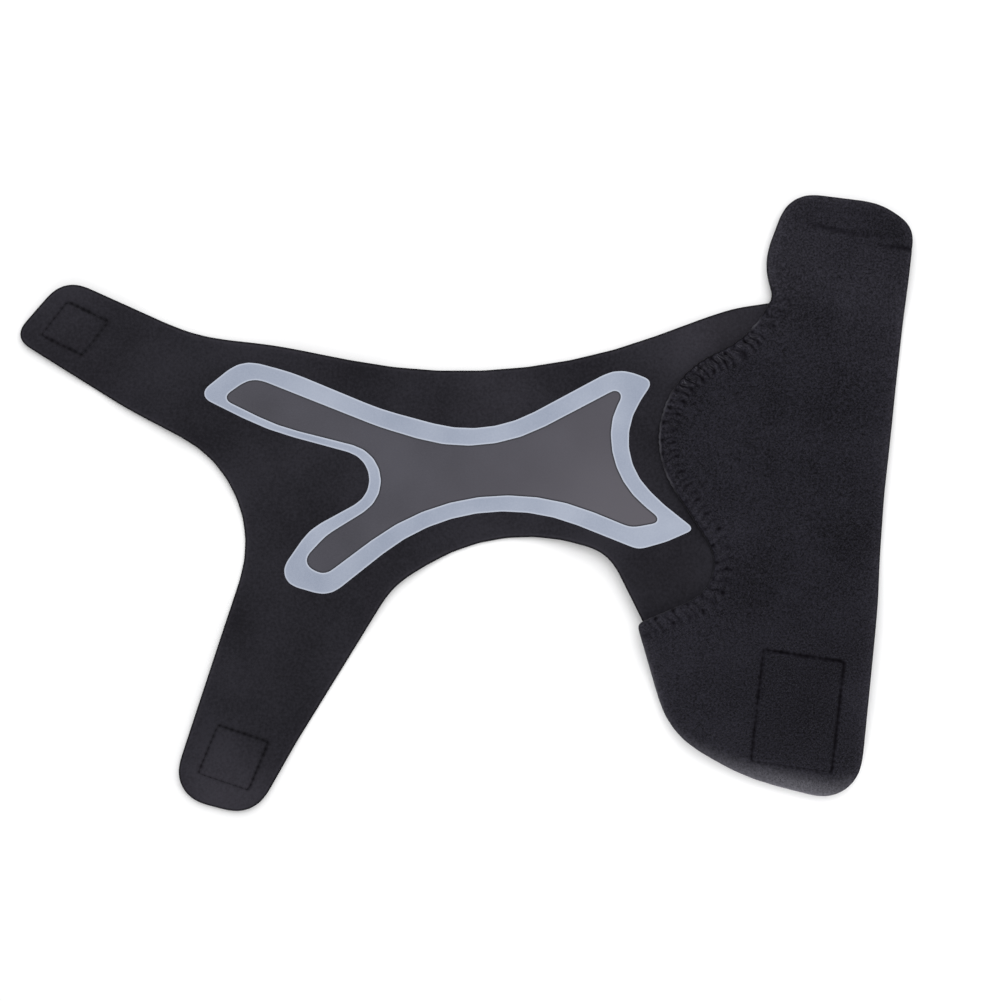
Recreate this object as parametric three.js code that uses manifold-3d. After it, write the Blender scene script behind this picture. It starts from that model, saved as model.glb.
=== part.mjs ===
// An ankle support wrap laid open on a table, seen with its outside up.
// A thin stretch body with two strap tails carries a cross-shaped support film. A thick plush cuff panel is
// sewn over the body's tongue, and hook pads sit behind the strap ends and the cuff's lower end.
// Millimetres, +Z up, the table is z = 0, +X runs from the strap tips to the cuff.
import * as THREE from "three";
import { mergeVertices } from "three/addons/utils/BufferGeometryUtils.js";
import Module from "manifold-3d";

const wasm = await Module();
wasm.setup();

// Thicknesses of the layers, and the air left between two of them.
const bodyThickness = 1.6;
const cuffThickness = 3.0;
const cuffSeamThickness = 1.9;
const filmThickness = 0.4;
const padThickness = 1.6;
const layerGap = 0.3;

// How finely the lie of the cloth is followed, and how closely the rounded corners are.
const gridStep = 7;
const cornerSagitta = 0.25;

// Outline corners, each rounded by its own radius, listed round each piece.
const bodyCorners = [
  { at: "top edge, under the cuff", x: 152, y: 97, round: 3 },
  { at: "top edge, beside the cuff", x: 126, y: 93.2, round: 48 },
  { at: "top edge, middle", x: 18.8, y: 53.6, round: 272 },
  { at: "top edge, left", x: -93.5, y: 76, round: 96 },
  { at: "upper strap root", x: -129.5, y: 79.6, round: 96 },
  { at: "upper strap tip, top", x: -193, y: 108.2, round: 15 },
  { at: "upper strap tip, bottom", x: -218, y: 79.5, round: 6.5 },
  { at: "upper strap, lower side", x: -162, y: 44.4, round: 120 },
  { at: "fork between the straps", x: -93.8, y: 9.6, round: 57.5 },
  { at: "lower strap tip, left", x: -143, y: -140, round: 16 },
  { at: "lower strap tip, right", x: -102.2, y: -150.8, round: 17 },
  { at: "lower strap, right side", x: -81.9, y: -114.9, round: 200 },
  { at: "lower strap root", x: -35.4, y: -39.6, round: 41 },
  { at: "arch crown", x: 18, y: -7.1, round: 92 },
  { at: "arch shoulder", x: 68, y: -24.4, round: 22 },
  { at: "tongue, arch end", x: 87.3, y: -63.2, round: 2 },
  { at: "tongue, low lobe", x: 140, y: -41, round: 27.5 },
  { at: "tongue, waist", x: 82, y: 47, round: 36.5 },
  { at: "tongue, top bend", x: 141, y: 73.5, round: 16 },
];
const cuffCorners = [
  { at: "notch above the tongue", x: 146.5, y: 99, round: 1.5 },
  { at: "seam, top bend", x: 136, y: 79.5, round: 46 },
  { at: "seam, waist", x: 70.5, y: 50, round: 44.5 },
  { at: "seam, low lobe", x: 127.8, y: -37.5, round: 19.5 },
  { at: "notch below the tongue", x: 81.1, y: -57.7, round: 1.5 },
  { at: "foot, left", x: 96.6, y: -109.9, round: 41 },
  { at: "foot, middle", x: 131.8, y: -131.3, round: 113 },
  { at: "foot, right", x: 186.9, y: -145.4, round: 18.8 },
  { at: "right side, swell", x: 196.8, y: -46, round: 240 },
  { at: "right side, waist", x: 199.8, y: 3, round: 240 },
  { at: "top end, right", x: 214.2, y: 131.8, round: 12 },
  { at: "top end, right slope", x: 199.5, y: 143.7, round: 33 },
  { at: "top end, left", x: 154.7, y: 149.3, round: 16.5 },
  { at: "left bulge", x: 141.4, y: 114.5, round: 31 },
];
const filmOuterCorners = [
  { at: "upper left arm, low tip", x: -129.6, y: 51.7, round: 4 },
  { at: "upper left arm, top tip", x: -108.1, y: 69.1, round: 17 },
  { at: "upper left arm, top side", x: -83.9, y: 62.6, round: 100 },
  { at: "top dip, left", x: -41.4, y: 45, round: 126 },
  { at: "top dip", x: 9.2, y: 31.3, round: 66 },
  { at: "upper right arm, crown", x: 72.5, y: 65.2, round: 18 },
  { at: "upper right arm, tip", x: 89.5, y: 58.5, round: 3 },
  { at: "right bay", x: 67.3, y: 25.2, round: 34.3 },
  { at: "lower right arm, upper side", x: 94.6, y: -1, round: 30 },
  { at: "lower right arm, tip", x: 109.2, y: -12.6, round: 1.5 },
  { at: "lower right arm, lower side", x: 95.5, y: -18.5, round: 30 },
  { at: "lower right arm, heel", x: 82, y: -22.3, round: 8.5 },
  { at: "lower dip", x: 2.5, y: 9.5, round: 94 },
  { at: "lower left arm, right tip", x: -66.3, y: -45, round: 13 },
  { at: "lower left arm, left tip", x: -92.8, y: -37.3, round: 8 },
  { at: "lower left arm, side", x: -75.7, y: -12.7, round: 26 },
  { at: "left bay", x: -24, y: 15.5, round: 13.7 },
  { at: "upper left arm, lower side", x: -96, y: 35, round: 129.5 },
];
const filmInnerCorners = [
  { at: "upper left arm, low tip", x: -117.9, y: 50.2, round: 2.5 },
  { at: "upper left arm, top tip", x: -103.2, y: 60.6, round: 12 },
  { at: "top dip, left", x: -42.3, y: 36.5, round: 120 },
  { at: "top dip", x: 8, y: 21.3, round: 81.5 },
  { at: "upper right arm, tip", x: 78.1, y: 58, round: 2.9 },
  { at: "right bay, upper", x: 69, y: 41, round: 28 },
  { at: "right bay, lower", x: 69, y: 11.6, round: 44 },
  { at: "lower right arm, tip", x: 94, y: -9, round: 2 },
  { at: "lower right arm, heel", x: 78.5, y: -11.8, round: 10.5 },
  { at: "lower dip", x: 3.6, y: 19, round: 109 },
  { at: "lower left arm, right tip", x: -68.5, y: -34.9, round: 6.5 },
  { at: "lower left arm, left tip", x: -79.8, y: -28.7, round: 4.5 },
  { at: "lower left arm, side", x: -67.5, y: -15.5, round: 29 },
  { at: "left bay", x: -14, y: 17.5, round: 17.7 },
  { at: "upper left arm, lower side", x: -91, y: 37, round: 96 },
];

// Hook pads: centre, size along and across, turn from +X, lean of the across side, and the height that the
// cloth's underside keeps above the table over the pad.
const strapPadLie = padThickness + layerGap;
const cuffFootLie = 5.5;
const padCornerRound = 2;
const padMargin = 2;
const padFade = 13;
const pads = {
  upperStrap: { x: -187.9, y: 83.7, along: 25, across: 23.5, turnDeg: -26, leanDeg: 12, lie: strapPadLie },
  lowerStrap: { x: -112, y: -122, along: 28.5, across: 28, turnDeg: -18.5, leanDeg: 4, lie: strapPadLie },
  cuff: { x: 157.9, y: -99.4, along: 42, across: 56.5, turnDeg: -8.5, leanDeg: -2, lie: cuffFootLie },
};

// Where the wrap stands off the table: full rise over a turned box, easing to nothing over the fade.
const lifts = [
  { at: "arch shoulder", x: 74, y: -34, along: 12, across: 12, turnDeg: 0, fade: 56, rise: 6.5 },
  { at: "cuff foot", x: 159, y: -99, along: 84, across: 76, turnDeg: -8, fade: 48, rise: cuffFootLie },
  { at: "cuff top crease", x: 188, y: 119, along: 60, across: 8, turnDeg: -7, fade: 30, rise: 3.8 },
  { at: "cuff right side", x: 201, y: 14, along: 8, across: 24, turnDeg: -6, fade: 38, rise: 2 },
  { at: "lower strap root", x: -36, y: -43, along: 6, across: 6, turnDeg: 0, fade: 34, rise: 2.6 },
  { at: "top edge, left", x: -64, y: 75, along: 28, across: 4, turnDeg: -11, fade: 30, rise: 1.6 },
  { at: "seam, upper bend", x: 112, y: 56, along: 34, across: 16, turnDeg: 40, fade: 36, rise: 2.4 },
  { at: "upper strap, lower side", x: -152, y: 40, along: 20, across: 4, turnDeg: -29, fade: 24, rise: 1.4 },
  { at: "fork between the straps", x: -121, y: 23, along: 28, across: 6, turnDeg: -47, fade: 26, rise: 1.5 },
  { at: "lower strap, left side", x: -126, y: -78, along: 4, across: 32, turnDeg: -18, fade: 24, rise: 1.5 },
];

// The cuff's foot rolls down onto the table along its lower edge. Grid rows follow that edge: their
// distances from it, and the stretch of the edge and of the cuff that they bend with.
const footRollWidth = 7.6;
const footRollTop = -110;
const footRollGrow = 20;
const footEdgeLie = 0.3;
const footRowDistances = [-4, 0, 1.5, 3.5, 6, 9, 12, 16, 21, 28, 36];
const footColumns = [178.5, 185.5];
const footBend = { fromX: 107, toX: 178, startY: -66, fullY: -126 };

// The cuff steps down to the table past the tongue that it covers.
const stepDelay = 9;
const stepFade = 10;
const seamSqueezeWidth = 9;
const steepest = 1.25;

function ease(amount) {
  const t = Math.min(1, Math.max(0, amount));
  return t * t * (3 - 2 * t);
}

// Closed outline from a corner table: an arc at each corner, sampled by its sagitta.
function outlineOf(corners) {
  const points = [];
  corners.forEach((corner, i) => {
    const here = new THREE.Vector2(corner.x, corner.y);
    const before = corners[(i + corners.length - 1) % corners.length];
    const after = corners[(i + 1) % corners.length];
    const back = new THREE.Vector2(before.x, before.y).sub(here).normalize();
    const ahead = new THREE.Vector2(after.x, after.y).sub(here).normalize();
    const half = Math.acos(back.dot(ahead)) / 2;
    const toCentre = back.clone().add(ahead).normalize();
    const centre = here.clone().addScaledVector(toCentre, corner.round / Math.sin(half));
    const start = here.clone().addScaledVector(back, corner.round / Math.tan(half)).sub(centre);
    const end = here.clone().addScaledVector(ahead, corner.round / Math.tan(half)).sub(centre);
    const sweep = Math.atan2(start.cross(end), start.dot(end));
    const stepAngle = 2 * Math.acos(1 - Math.min(0.5, cornerSagitta / corner.round));
    const steps = Math.max(2, Math.ceil(Math.abs(sweep) / stepAngle));
    for (let k = 0; k <= steps; k += 1) {
      points.push(start.clone().rotateAround(new THREE.Vector2(), (sweep * k) / steps).add(centre));
    }
  });
  return THREE.ShapeUtils.area(points) < 0 ? points.reverse() : points;
}

// The same outline moved outwards by a small distance.
function grown(outline, distance) {
  return outline.map((here, i) => {
    const before = outline[(i + outline.length - 1) % outline.length];
    const after = outline[(i + 1) % outline.length];
    const along = after.clone().sub(before).normalize();
    return here.clone().add(new THREE.Vector2(along.y, -along.x).multiplyScalar(distance));
  });
}

const bodyOutline = outlineOf(bodyCorners);
const cuffOutline = outlineOf(cuffCorners);
const filmOuter = outlineOf(filmOuterCorners);
const filmHole = grown(outlineOf(filmInnerCorners), layerGap / 2);
const filmCenter = grown(outlineOf(filmInnerCorners), -layerGap / 2);

// Shortest distance from a place to an open or closed run of outline points.
function distanceTo(run, x, y, closed) {
  let nearest = Infinity;
  const last = closed ? run.length : run.length - 1;
  for (let i = 0; i < last; i += 1) {
    const a = run[i];
    const b = run[(i + 1) % run.length];
    const lengthSq = (b.x - a.x) ** 2 + (b.y - a.y) ** 2 || 1;
    const t = Math.min(1, Math.max(0, ((x - a.x) * (b.x - a.x) + (y - a.y) * (b.y - a.y)) / lengthSq));
    nearest = Math.min(nearest, Math.hypot(x - a.x - t * (b.x - a.x), y - a.y - t * (b.y - a.y)));
  }
  return nearest;
}

function isInside(outline, x, y) {
  let inside = false;
  outline.forEach((a, i) => {
    const b = outline[(i + 1) % outline.length];
    if (a.y > y !== b.y > y && x < a.x + ((y - a.y) * (b.x - a.x)) / (b.y - a.y)) {
      inside = !inside;
    }
  });
  return inside;
}

const seamRun = cuffOutline.filter((p) => isInside(bodyOutline, p.x, p.y));
const footRun = cuffOutline.filter((p) => p.y < footRollTop);

// Height of the foot's edge at a place along it, held level past the ends of the bend.
function footEdge(x) {
  const held = Math.min(footBend.toX, Math.max(footBend.fromX, x));
  const after = cuffOutline.findIndex((p, i) => {
    const before = cuffOutline[(i + cuffOutline.length - 1) % cuffOutline.length];
    return p.y < footRollTop && before.x <= held && p.x >= held;
  });
  const a = cuffOutline[(after + cuffOutline.length - 1) % cuffOutline.length];
  const b = cuffOutline[after];
  return THREE.MathUtils.lerp(a.y, b.y, (held - a.x) / (b.x - a.x));
}

// Distance of a place from a turned and leaning box, nothing inside it.
function boxDistance(box, x, y, margin) {
  const turn = THREE.MathUtils.degToRad(box.turnDeg);
  const lean = THREE.MathUtils.degToRad(box.leanDeg || 0);
  const up = ((y - box.y) * Math.cos(turn) - (x - box.x) * Math.sin(turn)) / Math.cos(lean);
  const side = (x - box.x) * Math.cos(turn) + (y - box.y) * Math.sin(turn) - up * Math.sin(lean);
  const pastSide = Math.max(0, Math.abs(side) - box.along / 2 - margin);
  const pastUp = Math.max(0, Math.abs(up) - box.across / 2 - margin);
  return Math.hypot(pastSide, pastUp);
}

// Height of the wrap's underside above the table.
function lie(x, y) {
  let height = 0;
  for (const lift of lifts) {
    height += lift.rise * ease(1 - boxDistance(lift, x, y, 0) / lift.fade);
  }
  for (const pad of Object.values(pads)) {
    height += (pad.lie - height) * ease(1 - boxDistance(pad, x, y, padMargin) / padFade);
  }
  return height;
}

function steepness(height, x, y) {
  const reach = 0.5;
  const alongX = (height(x + reach, y) - height(x - reach, y)) / (2 * reach);
  const alongY = (height(x, y + reach) - height(x, y - reach)) / (2 * reach);
  return Math.min(steepest, Math.hypot(1, alongX, alongY));
}

function bodyUnder(x, y) {
  return lie(x, y);
}

function bodyTop(x, y) {
  return lie(x, y) + bodyThickness * steepness(lie, x, y);
}

function filmUnder(x, y) {
  return bodyTop(x, y) + layerGap;
}

function filmTop(x, y) {
  return filmUnder(x, y) + filmThickness;
}

function cuffUnder(x, y) {
  const outside = isInside(bodyOutline, x, y) ? 0 : distanceTo(bodyOutline, x, y, true);
  const step = ease(1 - (outside - stepDelay) / stepFade);
  const pastFoot = y < footRollTop && !isInside(cuffOutline, x, y);
  const fromFoot = (distanceTo(footRun, x, y, false) / footRollWidth) * (pastFoot ? -1 : 1);
  const rolled = fromFoot < 0 ? 2 * fromFoot : 1 - (1 - Math.min(1, fromFoot)) ** 2;
  const fall = (1 - rolled) * ease((footRollTop - y) / footRollGrow);
  const height = lie(x, y);
  return height - (height - footEdgeLie) * fall + (bodyThickness * steepness(lie, x, y) + layerGap) * step;
}

function cuffTop(x, y) {
  const squeeze = ease(1 - distanceTo(seamRun, x, y, false) / seamSqueezeWidth);
  const thickness = THREE.MathUtils.lerp(cuffThickness, cuffSeamThickness, squeeze);
  return cuffUnder(x, y) + thickness * steepness(cuffUnder, x, y);
}

// Solids: a slab that follows the lie, cut to an outline by an upright prism.
function toManifold(geometry) {
  const bare = geometry.index ? geometry.toNonIndexed() : geometry.clone();
  bare.deleteAttribute("normal");
  bare.deleteAttribute("uv");
  const welded = mergeVertices(bare, 1e-4);
  return new wasm.Manifold(
    new wasm.Mesh({
      numProp: 3,
      vertProperties: new Float32Array(welded.attributes.position.array),
      triVerts: new Uint32Array(welded.index.array),
    }),
  );
}

function toGeometry(solid) {
  const mesh = solid.getMesh();
  const geometry = new THREE.BufferGeometry();
  geometry.setAttribute("position", new THREE.BufferAttribute(new Float32Array(mesh.vertProperties), 3));
  geometry.setIndex(new THREE.BufferAttribute(new Uint32Array(mesh.triVerts), 1));
  geometry.computeVertexNormals();
  return geometry;
}

function prism(outline, hole, bottom, depth) {
  const shape = new THREE.Shape(outline);
  if (hole) {
    shape.holes.push(new THREE.Path(hole));
  }
  const geometry = new THREE.ExtrudeGeometry(shape, { depth, bevelEnabled: false });
  geometry.translate(0, 0, bottom);
  return geometry;
}

// Grid lines on common multiples of the step, so that stacked layers share their facets.
function gridLines(from, to, step) {
  const lines = [];
  for (let i = Math.floor(from / step) - 1; i <= Math.ceil(to / step) + 1; i += 1) {
    lines.push(i * step);
  }
  return lines;
}

function straightRow(x, y) {
  return y;
}

function footRow(x, y) {
  const share = ease((footBend.startY - y) / (footBend.startY - footBend.fullY));
  return y + (footEdge(x) - footEdge(footBend.toX)) * share;
}

function slab(xLines, yLines, under, top, rowAt) {
  const columns = xLines.length - 1;
  const rows = yLines.length - 1;
  const geometry = new THREE.BoxGeometry(columns, rows, 1, columns, rows, 1);
  const position = geometry.attributes.position;
  for (let i = 0; i < position.count; i += 1) {
    const x = xLines[Math.round(position.getX(i) + columns / 2)];
    const y = rowAt(x, yLines[Math.round(position.getY(i) + rows / 2)]);
    const height = position.getZ(i) > 0 ? top(x, y) : under(x, y);
    position.setXYZ(i, x, y, height);
  }
  return geometry;
}

const cutDepth = 60;

function clothSolid(outline, hole, under, top) {
  const box = new THREE.Box2().setFromPoints(outline);
  const xLines = gridLines(box.min.x, box.max.x, gridStep);
  const yLines = gridLines(box.min.y, box.max.y, gridStep);
  const sheet = toManifold(slab(xLines, yLines, under, top, straightRow));
  const cutter = toManifold(prism(outline, hole, -cutDepth / 2, cutDepth));
  return toGeometry(sheet.intersect(cutter));
}

function cuffSolid() {
  const box = new THREE.Box2().setFromPoints(cuffOutline);
  const footBase = footEdge(footBend.toX);
  const footRows = footRowDistances.map((distance) => footBase + distance);
  const upperRows = gridLines(box.min.y, box.max.y, gridStep);
  const yLines = [...footRows, ...upperRows.filter((y) => y > footRows.at(-1) + gridStep / 2)];
  const xLines = [...gridLines(box.min.x, box.max.x, gridStep), ...footColumns].sort((a, b) => a - b);
  const sheet = toManifold(slab(xLines, yLines, cuffUnder, cuffTop, footRow));
  const cutter = toManifold(prism(cuffOutline, null, -cutDepth / 2, cutDepth));
  return toGeometry(sheet.intersect(cutter));
}

function padGeometry(pad) {
  const lean = THREE.MathUtils.degToRad(pad.leanDeg);
  const halfAlong = pad.along / 2;
  const halfUp = (pad.across / 2) * Math.cos(lean);
  const shift = (pad.across / 2) * Math.sin(lean);
  const corners = [
    { x: shift + halfAlong, y: halfUp, round: padCornerRound },
    { x: shift - halfAlong, y: halfUp, round: padCornerRound },
    { x: -shift - halfAlong, y: -halfUp, round: padCornerRound },
    { x: -shift + halfAlong, y: -halfUp, round: padCornerRound },
  ];
  const geometry = prism(outlineOf(corners), null, pad.lie - layerGap - padThickness, padThickness);
  geometry.rotateZ(THREE.MathUtils.degToRad(pad.turnDeg));
  geometry.translate(pad.x, pad.y, 0);
  geometry.deleteAttribute("uv");
  return geometry;
}

const colours = {
  body: 0x29282d,
  cuff: 0x26252b,
  filmBorder: 0xa3abbe,
  filmCenter: 0x504f57,
  pad: 0x1d1c20,
};

function piece(name, geometry, color, roughness) {
  const mesh = new THREE.Mesh(geometry, new THREE.MeshStandardMaterial({ color, roughness, metalness: 0 }));
  mesh.name = name;
  return mesh;
}

const wrap = new THREE.Group();
wrap.name = "ankle_support_wrap";
wrap.add(
  piece("wrap_body", clothSolid(bodyOutline, null, bodyUnder, bodyTop), colours.body, 0.9),
  piece("cuff_panel", cuffSolid(), colours.cuff, 1.0),
  piece("support_film_border", clothSolid(filmOuter, filmHole, filmUnder, filmTop), colours.filmBorder, 0.6),
  piece("support_film_center", clothSolid(filmCenter, null, filmUnder, filmTop), colours.filmCenter, 0.5),
  piece("hook_pad_upper_strap", padGeometry(pads.upperStrap), colours.pad, 0.8),
  piece("hook_pad_lower_strap", padGeometry(pads.lowerStrap), colours.pad, 0.8),
  piece("hook_pad_cuff", padGeometry(pads.cuff), colours.pad, 0.8),
);

export default wrap;
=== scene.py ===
import math
import random

import bpy
import numpy as np
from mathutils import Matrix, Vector, geometry, noise
from mathutils.bvhtree import BVHTree
from mathutils.kdtree import KDTree


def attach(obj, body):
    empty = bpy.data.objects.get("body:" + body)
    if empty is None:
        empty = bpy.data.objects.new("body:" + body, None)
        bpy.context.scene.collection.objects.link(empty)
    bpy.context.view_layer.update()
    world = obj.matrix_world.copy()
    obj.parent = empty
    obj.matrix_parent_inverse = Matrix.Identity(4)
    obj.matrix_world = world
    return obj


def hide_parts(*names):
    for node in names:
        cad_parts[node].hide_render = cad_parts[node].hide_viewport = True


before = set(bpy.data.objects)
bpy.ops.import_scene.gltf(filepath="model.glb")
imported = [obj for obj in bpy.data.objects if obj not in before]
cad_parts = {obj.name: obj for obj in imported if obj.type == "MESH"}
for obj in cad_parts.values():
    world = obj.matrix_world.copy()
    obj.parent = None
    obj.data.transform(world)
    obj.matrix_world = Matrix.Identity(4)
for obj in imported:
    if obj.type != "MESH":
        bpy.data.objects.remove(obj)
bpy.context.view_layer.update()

mm = 0.001                       # shapes are worked out in millimetres, meshes are in metres
scene = bpy.context.scene
random.seed(26)
print("frame loaded:", ", ".join(sorted(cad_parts)))


# Small helpers

def ease(t):
    t = np.clip(t, 0, 1)
    return t * t * (3 - 2 * t)


def bell(distance, width):
    return np.exp(-(distance / width) ** 2)


def unitRows(rows):
    return rows / np.maximum(np.linalg.norm(rows, axis=1), 1e-9)[:, None]


def noiseAt(places, seed, size):
    # smooth noise from -1 to 1 with lumps of about that size
    return np.array([noise.noise(Vector((x, y, seed)) / size) for x, y in places])


def drawn(count, low, high):
    return np.array([random.uniform(low, high) for _ in range(count)])


def strayed(count, reach):
    # a random step in x and y for each place
    return np.array([[random.uniform(-1, 1), random.uniform(-1, 1)] for _ in range(count)]) * reach


def table(columns, *rows):
    # rows of values under their column names
    return [dict(zip(columns.split(), row)) for row in rows]


def placed(name, data):
    made = bpy.data.objects.new(name, data)
    scene.collection.objects.link(made)
    return made


# Reading the solids of the frame

sideLimit = 0.2                  # a face that turns up or down less than this is a side


def solidOf(nodeName):
    # a node's points, its upward faces and its downward faces
    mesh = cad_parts[nodeName].data
    mesh.calc_loop_triangles()
    raw = np.array([v.co for v in mesh.vertices]) / mm
    points, weld = np.unique(np.round(raw, 3), axis=0, return_inverse=True)
    triangles = weld.ravel()[np.array([t.vertices for t in mesh.loop_triangles])]
    apart = (triangles[:, 0] != triangles[:, 1]) & (triangles[:, 1] != triangles[:, 2])
    triangles = triangles[apart & (triangles[:, 2] != triangles[:, 0])]
    a, b, c = (points[triangles[:, i]] for i in range(3))
    upward = unitRows(np.cross(b - a, c - a))[:, 2]
    return points, triangles[upward > sideLimit], triangles[upward < -sideLimit]


def outlineOf(solid):
    # the edges that only one upward face uses, chained into the longest loop
    points, upFaces, _ = solid
    after = {}
    edges = {(f[i], f[(i + 1) % 3]) for f in upFaces for i in range(3)}
    for a, b in edges:
        if (b, a) not in edges:
            after[a] = b
    best = []
    while after:
        first, nxt = after.popitem()
        loop = [first]
        while nxt != first and nxt in after:
            loop.append(nxt)
            nxt = after.pop(nxt)
        best = max(best, loop, key=len)
    return points[best][:, :2]


def evenly(loop, step, closed=True):
    line = np.vstack([loop, loop[:1]]) if closed else np.asarray(loop)
    along = np.concatenate([[0], np.cumsum(np.linalg.norm(np.diff(line, axis=0), axis=1))])
    count = max(4, int(round(along[-1] / step)))
    at = np.linspace(0, along[-1], count + (not closed), endpoint=not closed)
    return np.column_stack([np.interp(at, along, line[:, i]) for i in range(line.shape[1])])


def softened(loop, rounds):
    for _ in range(rounds):
        loop = loop * 0.5 + (np.roll(loop, 1, 0) + np.roll(loop, -1, 0)) * 0.25
    return loop


def softOutline(solid, look):
    return softened(evenly(outlineOf(solid), look["outlineStep"]), look["softRounds"])


def leftOf(line, closed=True):
    # unit vectors to the left of the way that the line runs
    ahead = np.roll(line, -1, 0) - np.roll(line, 1, 0)
    if not closed:
        ahead[0], ahead[-1] = line[1] - line[0], line[-1] - line[-2]
    ahead = unitRows(ahead)
    return np.column_stack([-ahead[:, 1], ahead[:, 0]])


def inside(loop, points):
    x, y = points[:, 0], points[:, 1]
    within = np.zeros(len(points), bool)
    for (ax, ay), (bx, by) in zip(loop, np.roll(loop, -1, 0)):
        if ay != by:
            within ^= ((ay > y) != (by > y)) & (x < (bx - ax) * (y - ay) / (by - ay) + ax)
    return within


def covered(loops, places):
    # inside the outline and in none of its holes
    within = inside(loops[0], places)
    for hole in loops[1:]:
        within &= ~inside(hole, places)
    return within


def heightReader(points, faces):
    # the height of a surface at any place, taken at the nearest place on it seen from above
    tree = BVHTree.FromPolygons([(p[0], p[1], 0) for p in points], faces.tolist())
    corner = points[faces[:, 0]]
    normal = np.cross(points[faces[:, 1]] - corner, points[faces[:, 2]] - corner)
    lowest, highest = points[faces][:, :, 2].min(1), points[faces][:, :, 2].max(1)

    def read(places):
        heights = np.empty(len(places))
        for i, (x, y) in enumerate(places):
            spot, _, face, _ = tree.find_nearest((x, y, 0))
            n, p = normal[face], corner[face]
            height = p[2] - (n[0] * (spot.x - p[0]) + n[1] * (spot.y - p[1])) / n[2]
            heights[i] = min(max(height, lowest[face]), highest[face])
        return heights

    return read


def heightsOf(solid):
    # readers of the solid's upper side and of its lower side
    points, upFaces, downFaces = solid
    return heightReader(points, upFaces), heightReader(points, downFaces)


def nearestReader(line):
    # which point of the line is nearest to each place, and how far off it is
    tree = KDTree(len(line))
    for i, p in enumerate(line):
        tree.insert((p[0], p[1], 0), i)
    tree.balance()

    def read(places):
        found = [tree.find((x, y, 0)) for x, y in places]
        return np.array([f[1] for f in found], int), np.array([f[2] for f in found])

    return read


def distanceReader(line):
    near = nearestReader(line)
    return lambda places: near(places)[1]


def strongestNear(rows, places):
    # each row is a middle, how far it reaches, and how strong it is there
    most = np.zeros(len(places))
    for row in rows:
        far = np.hypot(places[:, 0] - row["x"], places[:, 1] - row["y"])
        most = np.maximum(most, row["share"] * (1 - ease(far / row["reach"])))
    return most


# Turning outlines into cloth

fieldLook = {"rowShare": 0.866, "edgeClear": 0.62, "denseClear": 0.5}     # shares of a field's step
edgeStep = 0.4                   # between the points of an edge that distances are read from
offsetStep = 0.5                 # between the points of a line before it is moved in


def rowsAlong(line, offsets, step):
    # places in close rows beside a line, so that the cloth can follow its groove
    line = evenly(line, step)
    side = leftOf(line)
    return np.vstack([line + side * offset for offset in offsets])


def fieldOf(loops, step, margin):
    # places in even staggered rows inside the outline, clear of its edges
    low, high = loops[0].min(0), loops[0].max(0)
    rows = np.arange(low[1], high[1], step * fieldLook["rowShare"])
    columns = np.arange(low[0], high[0] + step, step)
    x, y = np.meshgrid(columns, rows)
    x = x + (np.arange(len(rows)) % 2)[:, None] * step / 2
    field = np.column_stack([x.ravel(), y.ravel()])
    field = field[covered(loops, field)]
    edges = np.vstack([evenly(loop, margin / 2) for loop in loops])
    return field[distanceReader(edges)(field) > margin]


def filled(loops, step, dense=None):
    # triangles over the inside of the loops, with the dense places kept
    field = fieldOf(loops, step, step * fieldLook["edgeClear"])
    if dense is not None:
        dense = dense[inside(loops[0], dense)]
        field = field[distanceReader(dense)(field) > step * fieldLook["denseClear"]]
        field = np.vstack([field, dense])
    flat = np.vstack([*loops, field])
    edges, start = [], 0
    for loop in loops:
        edges += [(start + i, start + (i + 1) % len(loop)) for i in range(len(loop))]
        start += len(loop)
    _, _, faces, sources, _, _ = geometry.delaunay_2d_cdt(
        [Vector(p) for p in flat], edges, [], 0, 1e-6, True)
    back = [s[0] if s else -1 for s in sources]
    faces = np.array([[back[i] for i in face] for face in faces])
    faces = faces[(faces >= 0).all(1)]
    faces = faces[covered(loops, flat[faces].mean(1))]
    a, b, c = (flat[faces[:, i]] for i in range(3))
    turn = (b[:, 0] - a[:, 0]) * (c[:, 1] - a[:, 1]) - (b[:, 1] - a[:, 1]) * (c[:, 0] - a[:, 0])
    faces[turn < 0] = faces[turn < 0][:, ::-1]
    return flat, faces[np.abs(turn) > 1e-7]


def settled(heights, faces, rounds):
    # eases the solid's flat facets into one soft surface
    pairs = np.vstack([faces[:, [0, 1]], faces[:, [1, 2]], faces[:, [2, 0]]])
    pairs = np.unique(np.sort(pairs, 1), axis=0)
    a, b = pairs.T
    count = np.maximum(np.bincount(pairs.ravel(), minlength=len(heights)), 1)
    for _ in range(rounds):
        total = np.bincount(a, heights[b], len(heights)) + np.bincount(b, heights[a], len(heights))
        heights = heights + (total / count - heights) * 0.5
    return heights


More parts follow.
